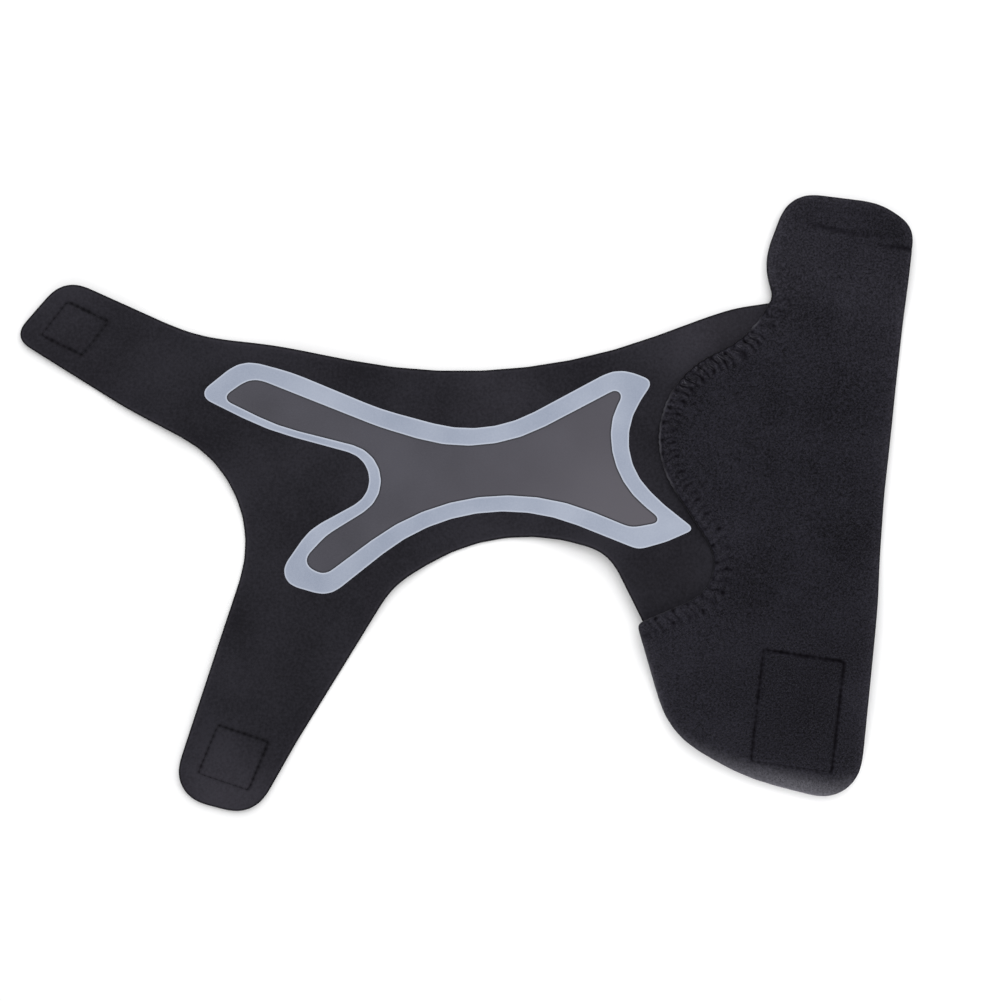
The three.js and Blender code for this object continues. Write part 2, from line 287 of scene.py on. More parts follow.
def clothSlab(loops, look, top, under, dense=None, relief=None):
    # a closed sheet with rounded rims: its points, faces, share of rim, and the top surface on its own
    sides = [1] + [-1] * (len(loops) - 1)                  # the cloth is left of its outline, right of a hole
    inner = [loop + leftOf(loop) * look["rimRound"] * side for loop, side in zip(loops, sides)]
    topFlat, topFaces = filled(inner, look["step"], dense)
    underFlat, underFaces = filled(inner, look["underStep"])
    topZ = settled(top(topFlat), topFaces, look["settleRounds"])
    underZ = settled(under(underFlat), underFaces, look["underSettleRounds"])
    if relief:
        topZ = topZ + relief(topFlat)
    ringCount = 0
    for loop in inner:
        ring = slice(ringCount, ringCount + len(loop))
        evened = softened(underZ[ring], look.get("ringRounds", 0))
        underZ[ring] = np.minimum(evened, topZ[ring] - look["leastEdge"])
        ringCount += len(loop)
    points = [np.column_stack([topFlat, topZ]), np.column_stack([underFlat, underZ])]
    faces = [topFaces.tolist(), (underFaces[:, ::-1] + len(topFlat)).tolist()]
    rim = [np.zeros(len(topFlat)), np.zeros(len(underFlat))]
    rim[0][:ringCount] = look["rimTint"]
    count, start = len(topFlat) + len(underFlat), 0
    turns = np.linspace(math.pi / 2, -math.pi / 2, 2 * look["rimSteps"] + 1)[1:-1]
    for loop, within, side in zip(loops, inner, sides):
        size = len(loop)
        high, low = topZ[start:start + size], underZ[start:start + size]
        rings = [np.arange(start, start + size)]
        for turn in turns:
            out = np.cos(turn) ** look["rimPower"]
            up = math.copysign(abs(math.sin(turn)) ** look["rimPower"], math.sin(turn))
            flat = within + (loop - within) * out
            points.append(np.column_stack([flat, (high + low) / 2 + (high - low) / 2 * up]))
            rim.append(np.ones(size))
            rings.append(np.arange(count, count + size))
            count += size
        rings.append(np.arange(start, start + size) + len(topFlat))
        for upper, lower in zip(rings, rings[1:]):
            quads = np.column_stack([lower, np.roll(lower, -1), np.roll(upper, -1), upper])
            faces.append(quads[:, ::side].tolist())
        start += size
    surface = np.column_stack([topFlat, topZ]), topFaces
    return np.vstack(points), [f for group in faces for f in group], np.concatenate(rim), surface


def tubes(paths, radius, sides):
    # round threads along the paths, closed at both ends
    points, faces = [], []
    turns = [2 * math.pi * s / sides for s in range(sides)]
    for path in paths:
        path = np.asarray(path, float)
        ahead = unitRows(np.gradient(path, axis=0))
        across = unitRows(np.cross(ahead, (0.13, 0.21, 0.97)))           # a way that no thread runs
        upward = np.cross(across, ahead)
        start = len(points)
        for p, u, v in zip(path, across, upward):
            points += [p + (u * math.cos(turn) + v * math.sin(turn)) * radius for turn in turns]
        last = len(points) - sides
        for ring in range(start, last, sides):
            for s in range(sides):
                t = (s + 1) % sides
                faces.append((ring + s, ring + t, ring + sides + t, ring + sides + s))
        faces.append(tuple(range(start + sides - 1, start - 1, -1)))
        faces.append(tuple(range(last, last + sides)))
    return np.array(points), faces


def addPiece(name, points, faces, materials, tints=None, faceMaterial=None):
    mesh = bpy.data.meshes.new(name)
    mesh.from_pydata((np.asarray(points) * mm).tolist(), [], [tuple(f) for f in faces])
    for material in materials:
        mesh.materials.append(material)
    mesh.polygons.foreach_set("use_smooth", np.ones(len(mesh.polygons), bool))
    if faceMaterial is not None:
        mesh.polygons.foreach_set("material_index", np.asarray(faceMaterial, np.int32))
    for tintName, values in (tints or {}).items():
        layer = mesh.attributes.new(tintName, "FLOAT", "POINT")
        layer.data.foreach_set("value", np.asarray(values, np.float32))
    mesh.validate()
    mesh.update()
    piece = placed(name, mesh)
    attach(piece, "root")
    print("made", name, "with", len(mesh.polygons), "faces")
    return piece


# Materials

waveLength = 0.314               # length of one band of Blender's wave texture at scale 1


def linear(red, green, blue):
    # screen levels from 0 to 255 as a shader's linear colour
    levels = [level / 255 for level in (red, green, blue)]
    return (*[c / 12.92 if c <= 0.04 else ((c + 0.055) / 1.055) ** 2.4 for c in levels], 1)


def add(tree, kind, inputs, **settings):
    made = tree.nodes.new("ShaderNode" + kind)
    for key, value in settings.items():
        setattr(made, key, value)
    for key, value in inputs.items():
        if isinstance(value, bpy.types.NodeSocket):
            tree.links.new(value, made.inputs[key])
        else:
            made.inputs[key].default_value = value
    return made


def grain(tree, place, size, detail=2.0, roughness=0.5, stretch=(1, 1, 1)):
    # noise with lumps of about that many millimetres
    where = add(tree, "Mapping", {"Vector": place, "Scale": stretch}).outputs["Vector"]
    return add(tree, "TexNoise", {"Vector": where, "Scale": 1 / (size * mm), "Detail": detail,
                                  "Roughness": roughness}).outputs["Fac"]


def bands(tree, place, width, way, uneven):
    # stripes of about that many millimetres
    inputs = {"Vector": place, "Scale": waveLength / (width * mm), **uneven}
    return add(tree, "TexWave", inputs, bands_direction=way).outputs["Fac"]


def mixed(tree, factor, first, second):
    return add(tree, "MixRGB", {"Fac": factor, "Color1": first, "Color2": second}).outputs["Color"]


def ramp(tree, factor, span, colours):
    made = add(tree, "ValToRGB", {"Fac": factor})
    for element, position, colour in zip(made.color_ramp.elements, span, colours):
        element.position = position
        element.color = colour
    return made.outputs["Color"]


def twoTone(tree, tone, finish, dark="dark", light="light"):
    return ramp(tree, tone, finish["span"], (linear(*finish[dark]), linear(*finish[light])))


def tinted(tree, name, colour, second):
    # blends in a second colour where the piece's own values of that name say so
    return mixed(tree, add(tree, "Attribute", {}, attribute_name=name).outputs["Fac"], colour, second)


def newMaterial(name, finish):
    # a shader with its even values on its own sockets, the place on the object, its fine grain,
    # and its tone: that grain alone, or over broad clouding
    material = bpy.data.materials.new(name)
    material.use_nodes = True
    tree = material.node_tree
    shader = tree.nodes["Principled BSDF"]
    for socket, value in finish["sockets"].items():
        shader.inputs[socket].default_value = value
    place = tree.nodes.new("ShaderNodeTexCoord").outputs["Object"]
    fine = tone = grain(tree, place, *finish["fine"])
    if "broad" in finish:
        tone = mixed(tree, finish["fineShare"], grain(tree, place, finish["broad"]), fine)
    return material, tree, shader, place, fine, tone


def dressed(tree, shader, colour, layers):
    # links the colour and the bumps: each layer is a height, its strength, and its depth in millimetres
    tree.links.new(colour, shader.inputs["Base Color"])
    normal = None
    for height, strength, depth in layers:
        inputs = {"Height": height, "Strength": strength, "Distance": depth * mm}
        if normal:
            inputs["Normal"] = normal
        normal = add(tree, "Bump", inputs).outputs["Normal"]
    tree.links.new(normal, shader.inputs["Normal"])


# in each finish, span is where the tone turns from dark to light, broad is the size of its clouding,
# and fine is its grain: size in millimetres, detail, roughness and stretch
clothFinish = {
    "sockets": {"Roughness": 0.8, "Specular IOR Level": 0.08, "Sheen Weight": 0.02, "Sheen Roughness": 0.6},
    "dark": (22, 21, 26), "light": (37, 36, 42), "paleDark": (42, 40, 46), "paleLight": (54, 52, 59),
    "edge": (7, 6, 9), "shade": (9, 7, 12), "span": (0.38, 0.62), "broad": 46, "fine": (1.3, 2, 0.6),
    "fineShare": 0.45, "ribWidth": 0.95, "courseWidth": 0.76}


def stretchClothMaterial():
    material, tree, shader, place, fine, tone = newMaterial("stretchCloth", clothFinish)
    colour = twoTone(tree, tone, clothFinish)
    colour = tinted(tree, "pale", colour, twoTone(tree, tone, clothFinish, "paleDark", "paleLight"))
    colour = tinted(tree, "rim", colour, linear(*clothFinish["edge"]))
    colour = tinted(tree, "shade", colour, linear(*clothFinish["shade"]))
    # fine knit: ribs one way and courses the other
    ribs = bands(tree, place, clothFinish["ribWidth"], "X",
                 {"Distortion": 0.6, "Detail": 1.0, "Detail Scale": 1.2})
    courses = bands(tree, place, clothFinish["courseWidth"], "Y",
                    {"Distortion": 0.8, "Detail": 1.0, "Detail Scale": 1.4})
    dressed(tree, shader, colour, [(ribs, 0.35, 0.05), (courses, 0.3, 0.04), (fine, 0.4, 0.08)])
    return material


plushFinish = {
    "sockets": {"Roughness": 0.94, "Specular IOR Level": 0.05, "Sheen Weight": 0.06, "Sheen Roughness": 0.5},
    "dark": (14, 13, 17), "light": (41, 40, 48), "loopDark": (17, 16, 21), "loopLight": (49, 48, 56),
    "paleDark": (43, 42, 49), "paleLight": (72, 70, 78), "rim": (64, 63, 69), "foot": (92, 91, 97),
    "shade": (8, 6, 11), "span": (0.34, 0.66), "broad": 38, "fine": (0.95, 1, 0.5), "fineShare": 0.72,
    "hair": 0.7, "sheenSpan": (0.35, 0.65), "leastSheen": 0.75}


def plushMaterial(name, dark, light):
    material, tree, shader, place, clumps, tone = newMaterial(name, plushFinish)
    colour = twoTone(tree, tone, plushFinish, dark, light)
    colour = tinted(tree, "pale", colour, twoTone(tree, tone, plushFinish, "paleDark", "paleLight"))
    colour = tinted(tree, "rim", colour, linear(*plushFinish["rim"]))
    # painted sheen on the foot's rolled edge, broken up in clumps
    low, high = plushFinish["sheenSpan"]
    speckle = add(tree, "MapRange", {"Value": clumps, "From Min": low, "From Max": high,
                                     "To Min": plushFinish["leastSheen"]}, clamp=True).outputs["Result"]
    foot = add(tree, "Attribute", {}, attribute_name="foot").outputs["Fac"]
    footSheen = add(tree, "Math", {0: foot, 1: speckle}, operation="MULTIPLY").outputs["Value"]
    colour = mixed(tree, footSheen, colour, linear(*plushFinish["foot"]))
    colour = tinted(tree, "shade", colour, linear(*plushFinish["shade"]))
    hair = grain(tree, place, plushFinish["hair"], 1)
    dressed(tree, shader, colour, [(clumps, 0.9, 0.35), (hair, 0.6, 0.15)])
    return material


filmRimFinish = {
    "sockets": {"Roughness": 0.58, "Specular IOR Level": 0.2}, "dark": (135, 143, 160),
    "light": (156, 163, 178), "lip": (176, 182, 195), "span": (0.3, 0.7), "broad": 30,
    "fine": (0.8, 2, 0.6), "fineShare": 0.3}


def filmRimMaterial():
    material, tree, shader, _, pebble, tone = newMaterial("filmRim", filmRimFinish)
    # the rim's rounded lip gets a painted highlight
    colour = tinted(tree, "rim", twoTone(tree, tone, filmRimFinish), linear(*filmRimFinish["lip"]))
    dressed(tree, shader, colour, [(pebble, 0.25, 0.04)])
    return material


filmFinish = {
    "sockets": {"Roughness": 0.5, "Specular IOR Level": 0.22}, "dark": (56, 55, 62),
    "light": (71, 70, 78), "edge": (40, 40, 46), "far": (81, 78, 85), "farWay": (0.75, -0.66, 0),
    "farFrom": -30, "farTo": 90, "span": (0.3, 0.7), "broad": 40, "fine": (0.9, 2, 0.6, (1, 2.2, 1)),
    "fineShare": 0.35}


def filmMaterial():
    material, tree, shader, place, weave, tone = newMaterial("filmInfill", filmFinish)
    # paler towards the arm at the lower right
    along = add(tree, "VectorMath", {0: place, 1: filmFinish["farWay"]}, operation="DOT_PRODUCT")
    slope = add(tree, "MapRange", {"Value": along.outputs["Value"], "From Min": filmFinish["farFrom"] * mm,
                                   "From Max": filmFinish["farTo"] * mm}, clamp=True).outputs["Result"]
    colour = mixed(tree, slope, twoTone(tree, tone, filmFinish), linear(*filmFinish["far"]))
    colour = tinted(tree, "rim", colour, linear(*filmFinish["edge"]))
    dressed(tree, shader, colour, [(weave, 0.3, 0.04)])
    return material


threadFinish = {
    "sockets": {"Roughness": 0.85, "Specular IOR Level": 0.05}, "dark": (7, 6, 10), "light": (13, 11, 16),
    "pale": (84, 83, 90), "span": (0.3, 0.7), "fine": (0.6, 2), "twist": 0.8}


def threadMaterial():
    material, tree, shader, place, _, tone = newMaterial("sewingThread", threadFinish)
    # the pale tint is a painted highlight: sheen on the lit seam threads and on the stitches' middles
    colour = tinted(tree, "pale", twoTone(tree, tone, threadFinish), linear(*threadFinish["pale"]))
    twist = bands(tree, place, threadFinish["twist"], "DIAGONAL", {"Distortion": 1.0})
    dressed(tree, shader, colour, [(twist, 0.6, 0.12)])
    return material


tapeFinish = {
    "sockets": {"Roughness": 0.45, "Specular IOR Level": 0.4}, "dark": (22, 22, 25),
    "light": (38, 38, 42), "span": (0.3, 0.7), "fine": (1.0, 2), "weave": 0.5}


def hookTapeMaterial():
    material, tree, shader, place, _, tone = newMaterial("hookTape", tapeFinish)
    weave = bands(tree, place, tapeFinish["weave"], "X", {})
    dressed(tree, shader, twoTone(tree, tone, tapeFinish), [(weave, 0.4, 0.05)])
    return material


stretchCloth = stretchClothMaterial()
plush = plushMaterial("plush", "dark", "light")
pileLoop = plushMaterial("plushLoop", "loopDark", "loopLight")
filmRim = filmRimMaterial()
filmInfill = filmMaterial()
sewingThread = threadMaterial()
hookTape = hookTapeMaterial()
print("materials ready")


# Stitch rows round the hook pads, which lie under the strap ends and the cuff's end

padNodes = {"upperStrap": "hook_pad_upper_strap", "lowerStrap": "hook_pad_lower_strap",
            "cuff": "hook_pad_cuff"}
stitchLook = {
    "inset": 1.5, "lineStep": 0.3, "step": 3.1, "radius": 0.2, "sides": 6, "places": 6, "endGap": 0.06,
    "arch": 0.16, "sunk": 0.08, "blend": 0.3,
    "dark": {"upperStrap": 0.6, "lowerStrap": 0.65, "cuff": 0.95}, "grooveWidth": 0.85,
    "valleyDent": 0.35, "valleyShade": 0.55, "valleyFade": 2.0, "pitSize": 0.8, "pitDent": 0.2,
    "pitShade": 0.75, "pitFade": 0.75, "breakSize": 5.0, "breakShare": 0.5, "breakSeed": 8.8,
    "cornerRounds": 6}
# how plainly the stitches show on each side of a pad, by the bearing that the side faces: the depth of the
# groove and the painted shade in it
stitchShown = {"upperStrap": table("facing share", (62, 0.95), (143, 0.62), (242, 1.0), (323, 0.62)),
               "lowerStrap": table("facing share", (72, 1.0), (162, 0.66), (252, 0.36), (342, 0.95)),
               "cuff": table("facing share", (80, 1.05), (176, 0.95), (260, 0.5), (356, 1.05))}


def movedIn(outline, inset, step):
    line = evenly(outline, offsetStep)
    return evenly(line + leftOf(line) * inset, step)


padSolids = {key: solidOf(node) for key, node in padNodes.items()}
padOutlines = {key: outlineOf(solid) for key, solid in padSolids.items()}
stitchLines = {key: movedIn(line, stitchLook["inset"], stitchLook["lineStep"])
               for key, line in padOutlines.items()}


def shownAlong(key):
    outward = -leftOf(stitchLines[key])
    bearings = np.radians([side["facing"] for side in stitchShown[key]])
    facing = np.argmax(outward @ np.array([np.cos(bearings), np.sin(bearings)]), 1)
    shares = np.array([side["share"] for side in stitchShown[key]])[facing]
    uneven = noiseAt(stitchLines[key], stitchLook["breakSeed"], stitchLook["breakSize"])
    return softened(shares, stitchLook["cornerRounds"]) * (1 + stitchLook["breakShare"] * uneven)


def grooveOf(keys):
    # the dent that a row of stitches pulls into the cloth, deepest where the needle went in, and the painted
    # shade in its valley and holes;
    # a faint row shows its needle holes more than the line between them
    lines = [stitchLines[key] for key in keys]
    shown = np.concatenate([shownAlong(key) for key in keys])
    near = nearestReader(np.vstack(lines))
    nearHole = distanceReader(np.vstack([evenly(line, stitchLook["step"]) for line in lines]))

    def read(places):
        which, far = near(places)
        valley = bell(far, stitchLook["grooveWidth"]) * shown[which] ** stitchLook["valleyFade"]
        pit = bell(nearHole(places), stitchLook["pitSize"]) * shown[which] ** stitchLook["pitFade"]
        dent = -(stitchLook["valleyDent"] * valley + stitchLook["pitDent"] * pit)
        return dent, np.clip(valley * stitchLook["valleyShade"] + pit * stitchLook["pitShade"], 0, 1)

    return read


# Body: one panel of smooth stretch cloth with two strap tails

bodyLook = {
    "outlineStep": 1.0, "softRounds": 8, "easedRounds": 110, "step": 1.7, "underStep": 3.2,
    "settleRounds": 18, "underSettleRounds": 6, "rimRound": 0.5, "rimSteps": 3, "rimPower": 0.62,
    "leastEdge": 0.8, "rimTint": 0.6, "puckerSize": 24, "puckerHeight": 0.12, "puckerSeed": 3.7,
    "edgePale": 0.45, "edgeAt": 1.2, "edgeWidth": 0.7, "edgeRows": (1.2, 2.1), "edgeRowStep": 1.1,
    "stitchRows": (-1.3, -0.6, 0, 0.6, 1.3), "stitchRowStep": 0.65}
# patches of painted light, where the cloth catches more light and sheen
litCloth = table(
    "x y reach share",
    (-118, -142, 42, 0.68),      # lower strap's end
    (118, 86, 44, 0.55),         # top edge beside the cuff
    (15, 60, 40, 0.25),          # middle of the top edge
    (20, -16, 34, 0.12),         # crown of the arch
    (-196, 88, 70, 0.2))         # upper strap's end
# painted shade
shadedCloth = table("x y reach share", (92, -36, 40, 0.26))      # between the film and the lower seam
easedBends = table(
    "x y reach share",
    (116, 90, 30, 1.0),          # top edge beside the cuff
    (-160, 44, 44, 1.0),         # lower side of the upper strap
    (-92, 76, 44, 1.0))          # root of the upper strap
strapKeys = ["upperStrap", "lowerStrap"]
bodySolid = solidOf("wrap_body")
bodyOutline = softOutline(bodySolid, bodyLook)
easedShare = strongestNear(easedBends, bodyOutline)[:, None]
bodyOutline += (softened(bodyOutline, bodyLook["easedRounds"]) - bodyOutline) * easedShare
bodyEdgeDistance = distanceReader(evenly(bodyOutline, edgeStep))
strapGroove = grooveOf(strapKeys)


def bodyRelief(places):
    waves = noiseAt(places, bodyLook["puckerSeed"], bodyLook["puckerSize"])
    return strapGroove(places)[0] + waves * bodyLook["puckerHeight"]


def bodyTints(places, rim):
    # shade is painted shade in the stitch grooves and between the film and the lower seam; pale is painted
    # light on the lit patches and a paler band just inside the edge
    edge = bell(bodyEdgeDistance(places) - bodyLook["edgeAt"], bodyLook["edgeWidth"])
    return {"rim": rim, "shade": np.clip(strapGroove(places)[1] + strongestNear(shadedCloth, places), 0, 1),
            "pale": np.maximum(strongestNear(litCloth, places), edge * bodyLook["edgePale"])}


denseBody = [rowsAlong(stitchLines[key], bodyLook["stitchRows"], bodyLook["stitchRowStep"])
             for key in strapKeys]
denseBody.append(rowsAlong(bodyOutline, bodyLook["edgeRows"], bodyLook["edgeRowStep"]))
bodyPoints, bodyFaces, bodyRim, bodyTop = clothSlab(
    [bodyOutline], bodyLook, *heightsOf(bodySolid), np.vstack(denseBody), bodyRelief)
bodyTopAt = heightReader(*bodyTop)
bodyCloth = addPiece("bodyCloth", bodyPoints, bodyFaces, [stretchCloth],
                     bodyTints(bodyPoints[:, :2], bodyRim))
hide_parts("wrap_body")


# Support film: a pale rim and a darker middle, bonded to the body's face

filmLook = {
    "outlineStep": 0.8, "softRounds": 3, "halfGap": 0.15, "step": 2.2, "underStep": 4.0,
    "settleRounds": 1, "underSettleRounds": 1, "rimRound": 0.32, "rimSteps": 3, "rimPower": 0.8,
    "leastEdge": 0.2, "rimTint": 0.9, "rimThick": 0.46, "infillThick": 0.38, "bond": -0.06,
    "lipHeight": 0.07, "lipWidth": 0.7, "edgeRows": (0.9, 1.7), "edgeRowStep": 1.2}
filmOuter = softOutline(solidOf("support_film_border"), filmLook)
filmInner = softOutline(solidOf("support_film_center"), filmLook)
filmInner = filmInner - leftOf(filmInner) * filmLook["halfGap"]  # the films meet half way across their gap


def filmOver(thick, edges):
    near = distanceReader(np.vstack(edges))

    def top(places):
        lip = bell(near(places) - filmLook["lipWidth"], filmLook["lipWidth"])
        return bodyTopAt(places) + thick + lip * filmLook["lipHeight"]

    return top


def filmUnder(places):
    return bodyTopAt(places) + filmLook["bond"]


def filmPiece(name, material, edges, thick, sides):
    rows = [rowsAlong(edge, np.array(filmLook["edgeRows"]) * way, filmLook["edgeRowStep"])
            for edge, way in zip(edges, sides)]
    points, faces, rim, _ = clothSlab(edges, filmLook, filmOver(thick, edges), filmUnder, np.vstack(rows))
    return addPiece(name, points, faces, [material], {"rim": rim})


filmRimPiece = filmPiece("filmRim", filmRim, [filmOuter, filmInner], filmLook["rimThick"], (1, -1))
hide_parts("support_film_border")
filmInfillPiece = filmPiece("filmInfill", filmInfill, [filmInner], filmLook["infillThick"], (1,))
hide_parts("support_film_center")


# Cuff: thick plush panel, sewn over the body's tongue

cuffLook = {
    "outlineStep": 0.6, "softRounds": 16, "step": 0.95, "underStep": 2.6, "settleRounds": 40,
    "underSettleRounds": 8, "ringRounds": 80, "rimRound": 1.0, "rimSteps": 4, "rimPower": 0.75,
    "leastEdge": 0.6, "rimTint": 0.15, "clumpSize": 1.4, "clumpHeight": 0.16, "clumpSeed": 1.3,
    "grooveShare": 1.5, "pressWidth": 9.0, "press": 0.26, "clearance": 0.04, "creaseDepth": 0.7,
    "creaseShade": 0.64, "padShade": 0.08, "topShade": 0.12, "topEase": 4, "topBefore": 30, "topFade": 25,
    "outerShade": 0.6, "lipWidth": 1.5, "edgePale": 0.32, "edgeFrom": 0.9, "edgeWidth": 1.6,
    "broadPale": 0.08, "broadWidth": 6.0, "stitchRows": (-1.2, -0.6, 0, 0.6, 1.2), "stitchRowStep": 0.6,
    "seamRows": (1.4, 8.9, 0.5)}
# folds near the top end: how far each takes to start and to stop, its width and its share
creases = table(
    "from to fadeIn fadeOut width share",
    ((158, 134.9), (190, 127.3), 13, 12, 1.4, 1.0),
    ((175, 129.9), (211, 126.2), 9, 14, 1.4, 0.66),
    ((186, 124.8), (214, 121.2), 28, 1, 1.25, 1.35))
# painted light below the folds, where the panel turns towards the light
litPlush = table(
    "x y reach share",
    (150, 118, 56, 0.26),        # below the folds, left
    (195, 104, 60, 0.16))        # below the folds, right
# painted shade
shadedPlush = table("x y reach share", (150, -70, 90, 0.1))      # low part of the panel
paleEdge = table(
    "x y reach share",
    (96, 46, 16, 0.9),           # left lobe of the seam, from its top
    (92, 30, 22, 1.0),
    (97, 12, 13, 0.9),
    (139, 85, 7, 1.0),           # top bend of the seam
    (92, -84, 44, 0.8))          # left side above the foot
cuffSolid = solidOf("cuff_panel")
cuffOutline = softOutline(cuffSolid, cuffLook)
overBody = inside(bodyOutline, cuffOutline)
firstOver = int(np.argmax(overBody & ~np.roll(overBody, 1)))
cuffOutline = np.roll(cuffOutline, -firstOver, 0)          # starts where the edge comes onto the body
cuffEdgeDistance = distanceReader(evenly(cuffOutline, edgeStep))
cuffGroove = grooveOf(["cuff"])
cuffUpper, cuffLower = heightsOf(cuffSolid)

seamLook = {
    "before": 11, "lineStep": 0.25, "pitch": 4.1, "band": 8.4, "bandVary": 1.3, "bandSeed": 9.3,
    "reach": 13.4, "slant": -0.14, "bend": 0.5, "wander": 2.2, "wanderSize": 8.0, "wanderSeed": (2.2, 5.1),
    "ridge": 0.85, "ridgeVary": 0.45, "ridgeSeed": 4.1, "varySize": 3.4, "edgeEase": 0.9, "bandEase": 2.2,
    "crestPower": 0.6, "crestLevel": 0.55, "valleyPower": 1.4, "valleyEase": 5, "valleyShade": 0.85,
    "ridgeHighlight": 0.25, "scallop": 0.42, "scallopLevel": 0.6, "onEdge": 0.3, "innerRow": 7.0, "outerRow": 2.0,
    "lowOuterRow": 0.9, "lowFrom": 0.5, "lowFade": 0.1, "jitter": 0.9, "leastIn": 0.5, "holeSize": 0.95,
    "holeDepth": 0.8, "holeShade": 1.0, "innerHole": 0.7, "leastHole": 0.45}
# along the seam from the upper notch: how high the plush bulges, how lit its threads are, proud and with a
# painted highlight, and how much painted shade its lip gets
seamRuns = table(
    "along bulge lit lip",
    (0, 0.0, 0.2, 0.6), (3, 0.5, 0.6, 0.6), (9, 0.55, 0.6, 0.6), (14, 0.4, 0.1, 0.85), (22, 1.0, 0.8, 0.85),
    (64, 1.0, 1.0, 0.85), (90, 0.6, 0.1, 0.85), (150, 0.6, 0.1, 0.8), (165, 0.65, 0.25, 0.35),
    (230, 0.6, 0.25, 0.3))
# the sewn part of the cuff's edge: all that lies on the body and a little before it
seamLine = evenly(np.vstack([cuffOutline[-seamLook["before"]:], cuffOutline[:int(overBody.sum())]]),
                  seamLook["lineStep"], closed=False)
seamSide = leftOf(seamLine, False)
seamAlong = np.concatenate([[0], np.cumsum(np.linalg.norm(np.diff(seamLine, axis=0), axis=1))])
seamWander = np.array([noise.noise(Vector((s / seamLook["wanderSize"], *seamLook["wanderSeed"])))
                       for s in seamAlong])
seamNear = nearestReader(seamLine)
seamCount = int(seamAlong[-1] / seamLook["pitch"])


def seamPlaces(places):
    # how far along the seam and how far in from it
    which, far = seamNear(places)
    return seamAlong[which], far


def seamShift(along, within):
    # how the ridges lean, bend and wander as they cross the seam
    bend = seamLook["bend"] * np.sin(2 * math.pi * within / seamLook["band"])
    return seamLook["slant"] * within + bend + seamLook["wander"] * np.interp(along, seamAlong, seamWander)


def seamRun(along, column):
    return np.interp(along, [run["along"] for run in seamRuns], [run[column] for run in seamRuns])


def atSeam(along, values):
    return np.column_stack([np.interp(along, seamAlong, values[:, i]) for i in range(2)])


def seamSpot(along, within):
    shifted = np.clip(along + seamShift(along, within), 0, seamAlong[-1])
    return atSeam(shifted, seamLine) + atSeam(shifted, seamSide) * within[:, None]


def needlePlaces():
    # holes in two rows by turns, none quite in line, and how far each is opened
    along = np.arange(2, seamCount) * seamLook["pitch"]
    low = ease((along / seamAlong[-1] - seamLook["lowFrom"]) / seamLook["lowFade"])
    within = seamLook["outerRow"] + (seamLook["lowOuterRow"] - seamLook["outerRow"]) * low
    within[::2] = seamLook["innerRow"]
    stray = strayed(len(along), seamLook["jitter"])
    opened = drawn(len(along), seamLook["leastHole"], 1)
    opened[::2] *= seamLook["innerHole"]
    return seamSpot(along + stray[:, 0], np.maximum(within + stray[:, 1], seamLook["leastIn"])), opened


needleHoles, holeOpened = needlePlaces()
holeNear = nearestReader(needleHoles)


def holeShare(places):
    which, far = holeNear(places)
    return bell(far, seamLook["holeSize"]) * holeOpened[which]


def seamCrest(along, within):
    return np.abs(np.sin(math.pi * (along - seamShift(along, within)) / seamLook["pitch"]))


def seamVary(along, within, seed):
    return noiseAt(np.column_stack([along, within]), seed, seamLook["varySize"])


def seamRelief(places):
    # plush bulging between the stitches: its height, the painted shade in its valleys and needle holes, and
    # the painted highlight on its crests
    along, within = seamPlaces(places)
    near = within < seamLook["reach"]
    height, shade, pale = np.zeros((3, len(places)))
    along, within = along[near], within[near]
    crest = seamCrest(along, within)
    band = seamLook["band"] + seamLook["bandVary"] * seamVary(along, within * 0, seamLook["bandSeed"])
    across = ease(within / seamLook["edgeEase"]) * (1 - ease((within - band) / seamLook["bandEase"]))
    uneven = 1 + seamLook["ridgeVary"] * seamVary(along, within, seamLook["ridgeSeed"])
    strength = across * seamRun(along, "bulge") * uneven
    hole = holeShare(places[near])
    bulge = seamLook["ridge"] * strength * (crest ** seamLook["crestPower"] - seamLook["crestLevel"])
    height[near] = bulge - hole * seamLook["holeDepth"]
    deeper = 0.5 + 0.5 * ease(within / seamLook["valleyEase"])
    valley = strength * (1 - crest) ** seamLook["valleyPower"] * deeper
    shade[near] = np.clip(valley * seamLook["valleyShade"] + hole * seamLook["holeShade"], 0, 1)
    pale[near] = np.clip(strength * 2 - 1, 0, 1) * crest ** 2 * seamLook["ridgeHighlight"]
    return height, shade, pale


def scalloped(outline):
    # the sewn edge swells a little at each bulge
    along, far = seamPlaces(outline)
    swell = seamLook["scallop"] * (seamCrest(along, 0) - seamLook["scallopLevel"])
    return outline - leftOf(outline) * (swell * seamRun(along, "bulge") * (far < seamLook["onEdge"]))[:, None]


def cuffPress(places):
    return cuffLook["press"] * (1 - ease(seamPlaces(places)[1] / cuffLook["pressWidth"]))


def cuffUnder(places):
    lowered = cuffLower(places) - cuffPress(places)
    resting = np.maximum(lowered, bodyTopAt(places) + cuffLook["clearance"])
    return np.where(inside(bodyOutline, places), resting, lowered)


def cuffOver(places):
    return cuffUpper(places) - cuffPress(places)


def foldShare(places):
    # how deep in a fold each place is
    most = np.zeros(len(places))
    for fold in creases:
        start, way = np.array(fold["from"]), np.subtract(fold["to"], fold["from"])
        length = np.linalg.norm(way)
        way = way / length
        along = (places - start) @ way
        aside = (places - start) @ np.array([-way[1], way[0]])
        ends = ease(along / fold["fadeIn"]) * ease((length - along) / fold["fadeOut"])
        most = np.maximum(most, fold["share"] * ends * bell(aside, fold["width"]))
    return most


def cuffRelief(places):
    clumps = [noise.fractal(Vector((x, y, cuffLook["clumpSeed"])) / cuffLook["clumpSize"], 0.8, 2.0, 2)
              for x, y in places]
    dents = cuffGroove(places)[0] * cuffLook["grooveShare"] - foldShare(places) * cuffLook["creaseDepth"]
    return dents + np.array(clumps) * cuffLook["clumpHeight"] + seamRelief(places)[0]


